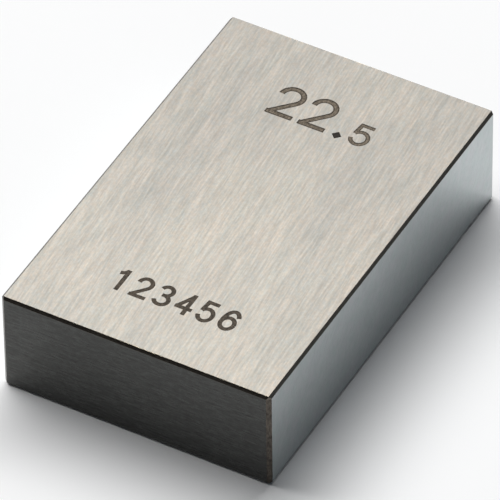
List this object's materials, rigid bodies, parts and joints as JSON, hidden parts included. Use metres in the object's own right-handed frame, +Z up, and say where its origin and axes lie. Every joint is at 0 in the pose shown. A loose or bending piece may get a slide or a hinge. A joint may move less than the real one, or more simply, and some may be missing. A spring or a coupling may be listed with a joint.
{
  "type": "gauge block",
  "caption": "Rectangular steel gauge block with lapped parallel measuring faces, ground sides and chamfered edges.",
  "frame": {"origin": "centre of the side face that the block lies on", "axes": "+X along the measured length, from one lapped measuring face to the other; +Y along the long side of the section; +Z up, along the short side of the section"},
  "size_m": [0.0226, 0.035, 0.0088],
  "materials": {
    "hardened_steel": "ground side and end faces, mirror-lapped measuring faces"
  },
  "bodies": {
    "root": {"gauge_block": "hardened_steel"}
  },
  "joints": []
}
